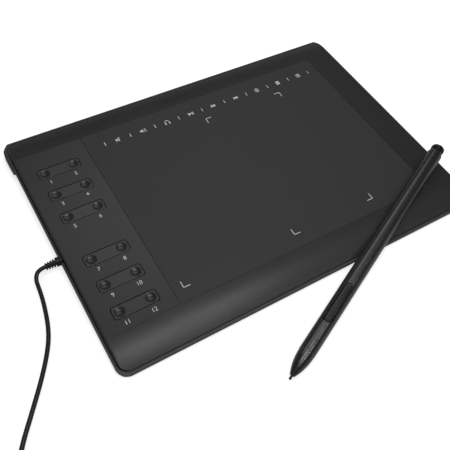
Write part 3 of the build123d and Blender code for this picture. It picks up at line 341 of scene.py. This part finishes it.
INK_COLOUR = (0.8, 0.8, 0.79)
BACK_RISE = 0.004
FEET_APART = 0.230
TILT = math.atan(BACK_RISE / FEET_APART)
FRONT_FOOT_Y = -0.112
FRONT_DEPTH = 0.0105
LIFT = FRONT_DEPTH * math.cos(TILT) - FRONT_FOOT_Y * math.sin(TILT)
ON_DESK = Matrix.Translation((0.0, 0.0, LIFT)) @ Matrix.Rotation(TILT, 4, "X")
PANEL_TOP = -0.0001
INK_LIFT = 0.00003
MARK_ARM = 0.0062
MARK_LINE = 0.0007
PHONE_LEFT = 0.0036
PHONE_RIGHT = 0.0930
PHONE_BACK = 0.0729
PHONE_FRONT = -0.0867
AREA_LEFT = -0.1086
AREA_FRONT = -0.0875
SIGNS = 9
SIGNS_Y = 0.086
STRIP_START = -0.1001
STRIP_STEP = 0.0267
BAR_LENGTH = 0.0036
BAR_WIDTH = 0.0007
WAVE_LINE = 0.0005
WAVE_SWEEP = 1.4
SLASH_TURN = 0.7
QUARTER_TURN = math.pi / 2
SIGN_STRETCH = 1.25


def bar(sheet, x, y, length, width, turn=0.0):
    """A flat bar of ink, its middle at x and y."""
    made = bmesh.ops.create_grid(sheet, x_segments=1, y_segments=1, size=0.5)
    bmesh.ops.scale(sheet, vec=(length, width, 1.0), verts=made["verts"])
    bmesh.ops.rotate(sheet, cent=(0, 0, 0), matrix=Matrix.Rotation(turn, 3, "Z"), verts=made["verts"])
    bmesh.ops.translate(sheet, vec=(x, y, 0.0), verts=made["verts"])


def disc(sheet, x, y, radius, sides=20, turn=0.0):
    """A round spot of ink, or a triangle with three sides."""
    made = bmesh.ops.create_circle(sheet, cap_ends=True, segments=sides, radius=radius)
    bmesh.ops.rotate(sheet, cent=(0, 0, 0), matrix=Matrix.Rotation(turn, 3, "Z"), verts=made["verts"])
    bmesh.ops.translate(sheet, vec=(x, y, 0.0), verts=made["verts"])


def ring(sheet, x, y, radius, width, start=0.0, sweep=2 * math.pi, steps=20):
    """A circular line of ink, whole or part of the way round."""
    inner = sheet.verts.new((radius - width / 2, 0.0, 0.0))
    outer = sheet.verts.new((radius + width / 2, 0.0, 0.0))
    line = sheet.edges.new((inner, outer))
    first = Matrix.Rotation(start, 3, "Z")
    bmesh.ops.rotate(sheet, cent=(0, 0, 0), matrix=first, verts=[inner, outer])
    before = set(sheet.verts)
    whole = sweep >= 2 * math.pi
    bmesh.ops.spin(sheet, geom=[inner, outer, line], cent=(0, 0, 0), axis=(0, 0, 1), angle=sweep,
                   steps=steps, use_merge=whole)
    made = [inner, outer] + [vert for vert in sheet.verts if vert not in before]
    bmesh.ops.translate(sheet, vec=(x, y, 0.0), verts=[vert for vert in made if vert.is_valid])


def corner_mark(sheet, x, y, toward_x, toward_y):
    """Two thin lines that meet at a corner, each toward the inside of its area."""
    bar(sheet, x + toward_x * MARK_ARM / 2, y, MARK_ARM, MARK_LINE)
    bar(sheet, x, y + toward_y * MARK_ARM / 2, MARK_LINE, MARK_ARM)


def printed(name, sheet, height, material, body="tablet"):
    """Lays a flat print on the tablet's face and gives it its ink."""
    bmesh.ops.recalc_face_normals(sheet, faces=sheet.faces)
    for face in sheet.faces:
        if face.normal.z < 0:
            face.normal_flip()
    bmesh.ops.translate(sheet, vec=(0.0, 0.0, height), verts=sheet.verts)
    bmesh.ops.transform(sheet, matrix=ON_DESK, verts=sheet.verts)
    mesh = bpy.data.meshes.new(name)
    sheet.to_mesh(mesh)
    sheet.free()
    piece = bpy.data.objects.new(name, mesh)
    bpy.context.scene.collection.objects.link(piece)
    mesh.materials.append(material)
    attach(piece, body)
    return piece


ink = plastic("Light grey ink", INK_COLOUR, roughness=0.5, grain=5000.0, bump=0.05, wear_and_sheen=0.0)

marks = bmesh.new()
corner_mark(marks, PHONE_LEFT, PHONE_BACK, 1, -1)
corner_mark(marks, PHONE_RIGHT, PHONE_BACK, -1, -1)
corner_mark(marks, PHONE_LEFT, PHONE_FRONT, 1, 1)
corner_mark(marks, PHONE_RIGHT, PHONE_FRONT, -1, 1)
corner_mark(marks, AREA_LEFT, AREA_FRONT, 1, 1)
printed("corner_marks", marks, PANEL_TOP + INK_LIFT, ink)

# Every sign is drawn from bars, discs and rings around its own middle, before all are stretched.
strip = bmesh.new()
for index in range(SIGNS + 1):
    bar(strip, STRIP_START + index * STRIP_STEP, SIGNS_Y, BAR_WIDTH, BAR_LENGTH)
sign_x = [STRIP_START + (index + 0.5) * STRIP_STEP for index in range(SIGNS)]
# speaker switched off
disc(strip, sign_x[0] + 0.0004, SIGNS_Y, radius=0.0024, sides=3, turn=QUARTER_TURN)
bar(strip, sign_x[0] - 0.0014, SIGNS_Y, length=0.0018, width=0.0022)
bar(strip, sign_x[0], SIGNS_Y, length=0.0062, width=WAVE_LINE, turn=SLASH_TURN)
# speaker with waves
disc(strip, sign_x[1] - 0.0008, SIGNS_Y, radius=0.0020, sides=3, turn=QUARTER_TURN)
bar(strip, sign_x[1] - 0.0024, SIGNS_Y, length=0.0014, width=0.0018)
for radius in (0.0018, 0.0031):
    ring(strip, sign_x[1], SIGNS_Y, radius, WAVE_LINE, start=-WAVE_SWEEP / 2, sweep=WAVE_SWEEP, steps=6)
# headphones
ring(strip, sign_x[2], SIGNS_Y - 0.0004, radius=0.0022, width=0.0006, sweep=math.pi, steps=12)
for side in (-1, 1):
    bar(strip, sign_x[2] + side * 0.0021, SIGNS_Y - 0.0014, length=0.0013, width=0.0022)
# play and pause
disc(strip, sign_x[3] - 0.0014, SIGNS_Y, radius=0.0021, sides=3, turn=-QUARTER_TURN)
for across in (0.0014, 0.0029):
    bar(strip, sign_x[3] + across, SIGNS_Y, length=0.0008, width=0.0030)
# back and forward
for middle, side in ((sign_x[4], 1), (sign_x[5], -1)):
    for across in (0.0012, -0.0012):
        disc(strip, middle + side * across, SIGNS_Y, radius=0.0018, sides=3, turn=side * QUARTER_TURN)
    bar(strip, middle - side * 0.0026, SIGNS_Y, length=0.0006, width=0.0030)
# dial
ring(strip, sign_x[6], SIGNS_Y, radius=0.0019, width=0.0006)
disc(strip, sign_x[6], SIGNS_Y, radius=0.0008)
# four panes
for across in (-0.0011, 0.0011):
    for along in (-0.0011, 0.0011):
        bar(strip, sign_x[7] + across, SIGNS_Y + along, length=0.0018, width=0.0018)
# list
for row in (-0.0014, 0.0, 0.0014):
    bar(strip, sign_x[8] + 0.0006, SIGNS_Y + row, length=0.0036, width=0.0008)
    bar(strip, sign_x[8] - 0.0021, SIGNS_Y + row, length=0.0008, width=0.0008)
bmesh.ops.scale(strip, vec=(1.0, SIGN_STRETCH, 1.0), space=Matrix.Translation((0.0, -SIGNS_Y, 0.0)),
                verts=strip.verts)
printed("strip_signs", strip, PANEL_TOP + INK_LIFT, ink)

# Key numbers
# Plain numbers in the same light grey ink, one under each end of every key. They are screen printed on
# the flat face of the top cover.

KEY_X = -0.1501
KEY_PITCH = 0.0274
BACK_GROUP_Y = 0.0214
FRONT_GROUP_Y = -0.028
NUMBER_HEIGHT = 0.0054
NUMBER_BELOW = 0.0114
NUMBER_OFFSETS = (-0.0119, 0.0115)

key_ys = [BACK_GROUP_Y + step * KEY_PITCH for step in (2, 1, 0)]
key_ys += [FRONT_GROUP_Y - step * KEY_PITCH for step in (0, 1, 2)]
numbers = bmesh.new()
for row, key_y in enumerate(key_ys):
    for column, offset in enumerate(NUMBER_OFFSETS):
        writing = bpy.data.curves.new("number", "FONT")
        writing.body = str(1 + len(NUMBER_OFFSETS) * row + column)
        writing.size = NUMBER_HEIGHT
        writing.align_x = "CENTER"
        writing.align_y = "CENTER"
        lettered = bpy.data.objects.new("number", writing)
        bpy.context.scene.collection.objects.link(lettered)
        flat = bpy.data.meshes.new_from_object(lettered)
        flat.transform(Matrix.Translation((KEY_X + offset, key_y - NUMBER_BELOW, 0.0)))
        numbers.from_mesh(flat)
        bpy.data.objects.remove(lettered)
        bpy.data.curves.remove(writing)
        bpy.data.meshes.remove(flat)
printed("key_numbers", numbers, INK_LIFT, ink)

# Lead, strain relief and plug
# A round black lead of soft vinyl with a satin skin. It leaves the left side through a ribbed relief
# moulded on it, runs over the desk, and its stored length is wound in two layers beside the plug.

CORD_DIAMETER = 0.0036
EXIT = Vector((-0.1989, -0.0134037, 0.0068121))
FIRST_RUN = 0.0066
# x and y from EXIT, and the gap between the lead and the desk
CORD_ROUTE = [
    (-0.0113, -0.0062, 0.0028),
    (-0.0118, -0.0161, 0.0009),
    (-0.0137, -0.0311, 0.0),
    (-0.0181, -0.0516, 0.0),
    (-0.0244, -0.0669, 0.0),
    (-0.0361, -0.0860, 0.0),
    (-0.0521, -0.1079, 0.0),
    (-0.0696, -0.1311, 0.0),
    (-0.0900, -0.1678, 0.0),
]
COIL_PITCH = CORD_DIAMETER + 0.00045
COIL_RADIUS = 0.0286
BOTTOM_QUARTERS = 13
REVERSAL_QUARTERS = 2
TOP_QUARTERS = 14
POINTS_A_QUARTER = 4
COIL_TAIL = 0.024
# shares of the tail's length, with the share of its fall that is done there
TAIL_FALL = ((0.0, 0.0), (0.25, 0.0), (0.5, 0.5), (0.75, 1.0), (1.0, 1.0))
PLUG_MIDDLE = 0.00405
CORD_COLOUR = (0.008, 0.008, 0.0083)
PLUG_STEEL = (0.72, 0.72, 0.7)
TONGUE_COLOUR = (0.7, 0.7, 0.68)

cord_points = [EXIT, EXIT + Vector((-FIRST_RUN, 0.0, 0.0))]
for dx, dy, clear in CORD_ROUTE:
    cord_points.append(Vector((EXIT.x + dx, EXIT.y + dy, CORD_DIAMETER / 2 + clear)))

coil_start = cord_points.pop()
heading = (coil_start - cord_points[-1]).normalized()
inward = Vector((-heading.y, heading.x, 0.0))
coil_middle = coil_start + inward * COIL_RADIUS
first_angle = math.atan2(-inward.y, -inward.x)
climb_end = BOTTOM_QUARTERS + REVERSAL_QUARTERS
inmost = BOTTOM_QUARTERS + REVERSAL_QUARTERS / 2
all_quarters = climb_end + TOP_QUARTERS
half_step = math.pi / 4 / POINTS_A_QUARTER
for point in range(all_quarters * POINTS_A_QUARTER):
    quarter = (point + 0.5) / POINTS_A_QUARTER
    radius = COIL_RADIUS - inmost * COIL_PITCH / 4 + abs(quarter - inmost) * COIL_PITCH / 4
    climb = min(max(quarter - BOTTOM_QUARTERS, 0.0), REVERSAL_QUARTERS) / REVERSAL_QUARTERS
    angle = first_angle + quarter * math.pi / 2
    reach = Vector((math.cos(angle), math.sin(angle), 0.0)) * radius / math.cos(half_step)
    cord_points.append(coil_middle + reach + Vector((0.0, 0.0, COIL_PITCH * climb)))
end_radius = COIL_RADIUS - inmost * COIL_PITCH / 4 + (all_quarters - inmost) * COIL_PITCH / 4
end_angle = first_angle + all_quarters * math.pi / 2
coil_end = coil_middle + Vector((math.cos(end_angle), math.sin(end_angle), 0.0)) * end_radius
coil_end.z = CORD_DIAMETER / 2 + COIL_PITCH
away = Vector((-math.sin(end_angle), math.cos(end_angle), 0.0))
drop = PLUG_MIDDLE - coil_end.z
for share, fallen in TAIL_FALL:
    lower = Vector((0, 0, drop * fallen))
    cord_points.append(coil_end + away * (CORD_DIAMETER + COIL_TAIL * share) + lower)
cord_points.append(coil_end + away * (2 * CORD_DIAMETER + COIL_TAIL) + Vector((0, 0, drop)))

line = bpy.data.curves.new("usb_lead", "CURVE")
line.dimensions = "3D"
line.bevel_depth = CORD_DIAMETER / 2
line.bevel_resolution = 4
line.resolution_u = 8
line.use_fill_caps = True
route = line.splines.new("NURBS")
route.points.add(len(cord_points) - 1)
for place, point in zip(cord_points, route.points):
    point.co = (*place, 1.0)
route.order_u = 3
route.use_endpoint_u = True
lead = bpy.data.objects.new("usb_lead", line)
bpy.context.scene.collection.objects.link(lead)
lead_vinyl = plastic("Lead vinyl", CORD_COLOUR, roughness=0.38, grain=1500.0, bump=0.08, specular=0.45,
                     wear_and_sheen=0.0)
line.materials.append(lead_vinyl)
relief_vinyl = plastic("Relief vinyl", CORD_COLOUR, roughness=0.42, grain=1500.0, bump=0.08, specular=0.4,
                       wear_and_sheen=0.15)
finish_nodes(relief_vinyl, "cable_relief", "inner_lead", "usb_plug_body")
finish_nodes(metal("Plug shell", PLUG_STEEL, roughness=0.25), "usb_plug_shell")
finish_nodes(plastic("Plug tongue", TONGUE_COLOUR, roughness=0.4), "usb_plug_tongue")
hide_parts("usb_cable_tube", "usb_cable_coil")
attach(lead, "tablet")

# Pen
# A battery-free pen: a soft-touch barrel and grip of black plastic, a conical nose, a replaceable nib,
# a rocker button in an oval pocket, and a glossier cap. The coil and board inside are glued in.

PEN_COLOUR = (0.007, 0.007, 0.0073)
TRIM_COLOUR = (0.006, 0.006, 0.0063)
NIB_COLOUR = (0.012, 0.012, 0.012)
FERRITE_COLOUR = (0.03, 0.03, 0.032)
COPPER_COLOUR = (0.72, 0.3, 0.12)
HOUSING_COLOUR = (0.05, 0.05, 0.05)
# The pen's edges, with the rims of its button pocket, turn much paler than the other plastics: a little
# wear, mostly a painted highlight on rims that catch the light.
WORN_AND_SHEEN_PALER = 0.2

soft_plastic = plastic("Pen soft plastic", PEN_COLOUR, roughness=0.27, grain=2200.0, bump=0.05,
                       specular=1.0, wear_and_sheen=0.8, paler=WORN_AND_SHEEN_PALER)
finish_nodes(soft_plastic, "pen_barrel", "pen_grip", "pen_nose")
pen_trim = plastic("Pen trim", TRIM_COLOUR, roughness=0.22, grain=3000.0, bump=0.02, wear_and_sheen=0.9,
                   paler=WORN_AND_SHEEN_PALER)
finish_nodes(pen_trim, "pen_cap", "pen_button")
finish_nodes(plastic("Nib plastic", NIB_COLOUR, roughness=0.35, wear_and_sheen=0.3), "pen_nib")
finish_nodes(plastic("Ferrite", FERRITE_COLOUR, roughness=0.55, grain=1800.0, bump=0.1), "pen_ferrite")
winding = metal("Copper winding", COPPER_COLOUR, roughness=0.3, brushed=4000.0, bump=0.3)
finish_nodes(winding, "pen_winding")
finish_nodes(plastic("Sensor housing", HOUSING_COLOUR, roughness=0.45), "pen_pressure_sensor")

# Floor
# A wide sheet of plain white paper under everything. It glows a little for the camera alone, so that
# it shows as clear white and its soft shadows stay light.

FLOOR_COLOUR = (0.8, 0.8, 0.8)
FLOOR_SIZE = 2.4
FLOOR_LIFT = 0.65
PAPER_ROUGHNESS = 0.9
PAPER_SPECULAR = 0.1

ground = bmesh.new()
bmesh.ops.create_grid(ground, x_segments=1, y_segments=1, size=FLOOR_SIZE / 2)
floor_mesh = bpy.data.meshes.new("floor")
ground.to_mesh(floor_mesh)
ground.free()
floor = bpy.data.objects.new("floor", floor_mesh)
bpy.context.scene.collection.objects.link(floor)
floor_paper = bpy.data.materials.new("White paper")
floor_paper.use_nodes = True
tree, link = floor_paper.node_tree.nodes, floor_paper.node_tree.links.new
paper = tree["Principled BSDF"]
paper.inputs["Base Color"].default_value = (*FLOOR_COLOUR, 1.0)
paper.inputs["Roughness"].default_value = PAPER_ROUGHNESS
paper.inputs["Specular IOR Level"].default_value = PAPER_SPECULAR
glow = tree.new("ShaderNodeEmission")
seen = tree.new("ShaderNodeLightPath")
dim = tree.new("ShaderNodeMath")
dim.operation = "MULTIPLY"
dim.inputs[1].default_value = FLOOR_LIFT
both = tree.new("ShaderNodeAddShader")
link(seen.outputs["Is Camera Ray"], dim.inputs[0])
link(dim.outputs[0], glow.inputs["Strength"])
link(paper.outputs[0], both.inputs[0])
link(glow.outputs[0], both.inputs[1])
link(both.outputs[0], tree["Material Output"].inputs["Surface"])
floor_mesh.materials.append(floor_paper)

# Studio light
# A long strip box overhead, brighter in its left half, lights the rolled front edge and the key dishes,
# and a narrow one in front lights the pen. A large box behind shows in the flat top, a fill stands at
# the left, and the room is a little lighter near the horizon.

LAMP_HEIGHT = 1.2
STRIP_POWERS = (2.5, 0.3)
STRIP_HALF = 0.6
STRIP_LEFT = -0.2
STRIP_WIDTH = 0.18
STRIP_Y = -0.06
FRONT_STRIP_X = 0.45
FRONT_STRIP_Y = -0.62
FRONT_STRIP_SIZE = (1.0, 0.1)
FRONT_STRIP_POWER = 3.2
BACK_BOX_X = 0.42
BACK_BOX_Y = 0.78
BACK_BOX_SIZE = (1.05, 0.75)
BACK_BOX_POWER = 3.0
FILL_PLACE = (-1.2, -0.6, 0.9)
FILL_SIZE = (0.8, 0.8)
FILL_POWER = 5.0
HORIZON_LEVEL = 0.35
OVERHEAD_LEVEL = 0.1
OVERHEAD_FROM = 0.4
BACKDROP_LEVEL = 1.0


def soft_box(name, place, target, size, power):
    """A rectangular lamp at a place, turned to its target."""
    lamp = bpy.data.lights.new(name, "AREA")
    lamp.shape = "RECTANGLE"
    lamp.size, lamp.size_y = size
    lamp.energy = power
    holder = bpy.data.objects.new(name, lamp)
    holder.location = place
    holder.rotation_euler = (Vector(target) - Vector(place)).to_track_quat("-Z", "Y").to_euler()
    bpy.context.scene.collection.objects.link(holder)


def overhead(name, x, y, size, power):
    """A rectangular lamp that looks straight down."""
    soft_box(name, (x, y, LAMP_HEIGHT), (x, y, 0.0), size, power)


for part, power in enumerate(STRIP_POWERS):
    middle = STRIP_LEFT + (part + 0.5) * STRIP_HALF
    overhead("strip box", middle, STRIP_Y, (STRIP_HALF, STRIP_WIDTH), power)
overhead("front strip", FRONT_STRIP_X, FRONT_STRIP_Y, FRONT_STRIP_SIZE, FRONT_STRIP_POWER)
overhead("back box", BACK_BOX_X, BACK_BOX_Y, BACK_BOX_SIZE, BACK_BOX_POWER)
soft_box("left fill", FILL_PLACE, (0.0, 0.0, 0.0), FILL_SIZE, FILL_POWER)

room = bpy.data.worlds.new("room")
room.use_nodes = True
bpy.context.scene.world = room
tree, link = room.node_tree.nodes, room.node_tree.links.new
sky = tree["Background"]
sky.inputs["Color"].default_value = (1.0, 1.0, 1.0, 1.0)
look = tree.new("ShaderNodeTexCoord")
split = tree.new("ShaderNodeSeparateXYZ")
ramp = tree.new("ShaderNodeMapRange")
ramp.inputs["From Max"].default_value = OVERHEAD_FROM
ramp.inputs["To Min"].default_value = HORIZON_LEVEL
ramp.inputs["To Max"].default_value = OVERHEAD_LEVEL
path = tree.new("ShaderNodeLightPath")
level = tree.new("ShaderNodeMix")
level.data_type = "FLOAT"
level.inputs["B"].default_value = BACKDROP_LEVEL
link(look.outputs["Generated"], split.inputs[0])
link(split.outputs["Z"], ramp.inputs["Value"])
link(path.outputs["Is Camera Ray"], level.inputs["Factor"])
link(ramp.outputs["Result"], level.inputs["A"])
link(level.outputs["Result"], sky.inputs["Strength"])

# Camera
# At the photograph's own viewing angle, from the front left and above, with the lens that was fitted
# to the straight edges of the case.

CAMERA_PLACE = (-0.23544, -0.30579, 0.44240)
CAMERA_RIGHT = Vector((0.857, -0.511, 0.071))
CAMERA_FORWARD = Vector((0.353, 0.479, -0.804))
CAMERA_LENS = 48.37
CAMERA_SENSOR = 36.0
CAMERA_NEAREST = 0.01

forward = CAMERA_FORWARD.normalized()
right = (CAMERA_RIGHT - forward * CAMERA_RIGHT.dot(forward)).normalized()
up = right.cross(forward)
view = bpy.data.cameras.new("camera")
view.lens = CAMERA_LENS
view.sensor_width = CAMERA_SENSOR
view.clip_start = CAMERA_NEAREST
camera = bpy.data.objects.new("camera", view)
turned = Matrix((right, up, -forward)).transposed()
camera.matrix_world = Matrix.Translation(CAMERA_PLACE) @ turned.to_4x4()
bpy.context.scene.collection.objects.link(camera)
bpy.context.scene.camera = camera
bpy.context.scene.view_settings.view_transform = "Standard"
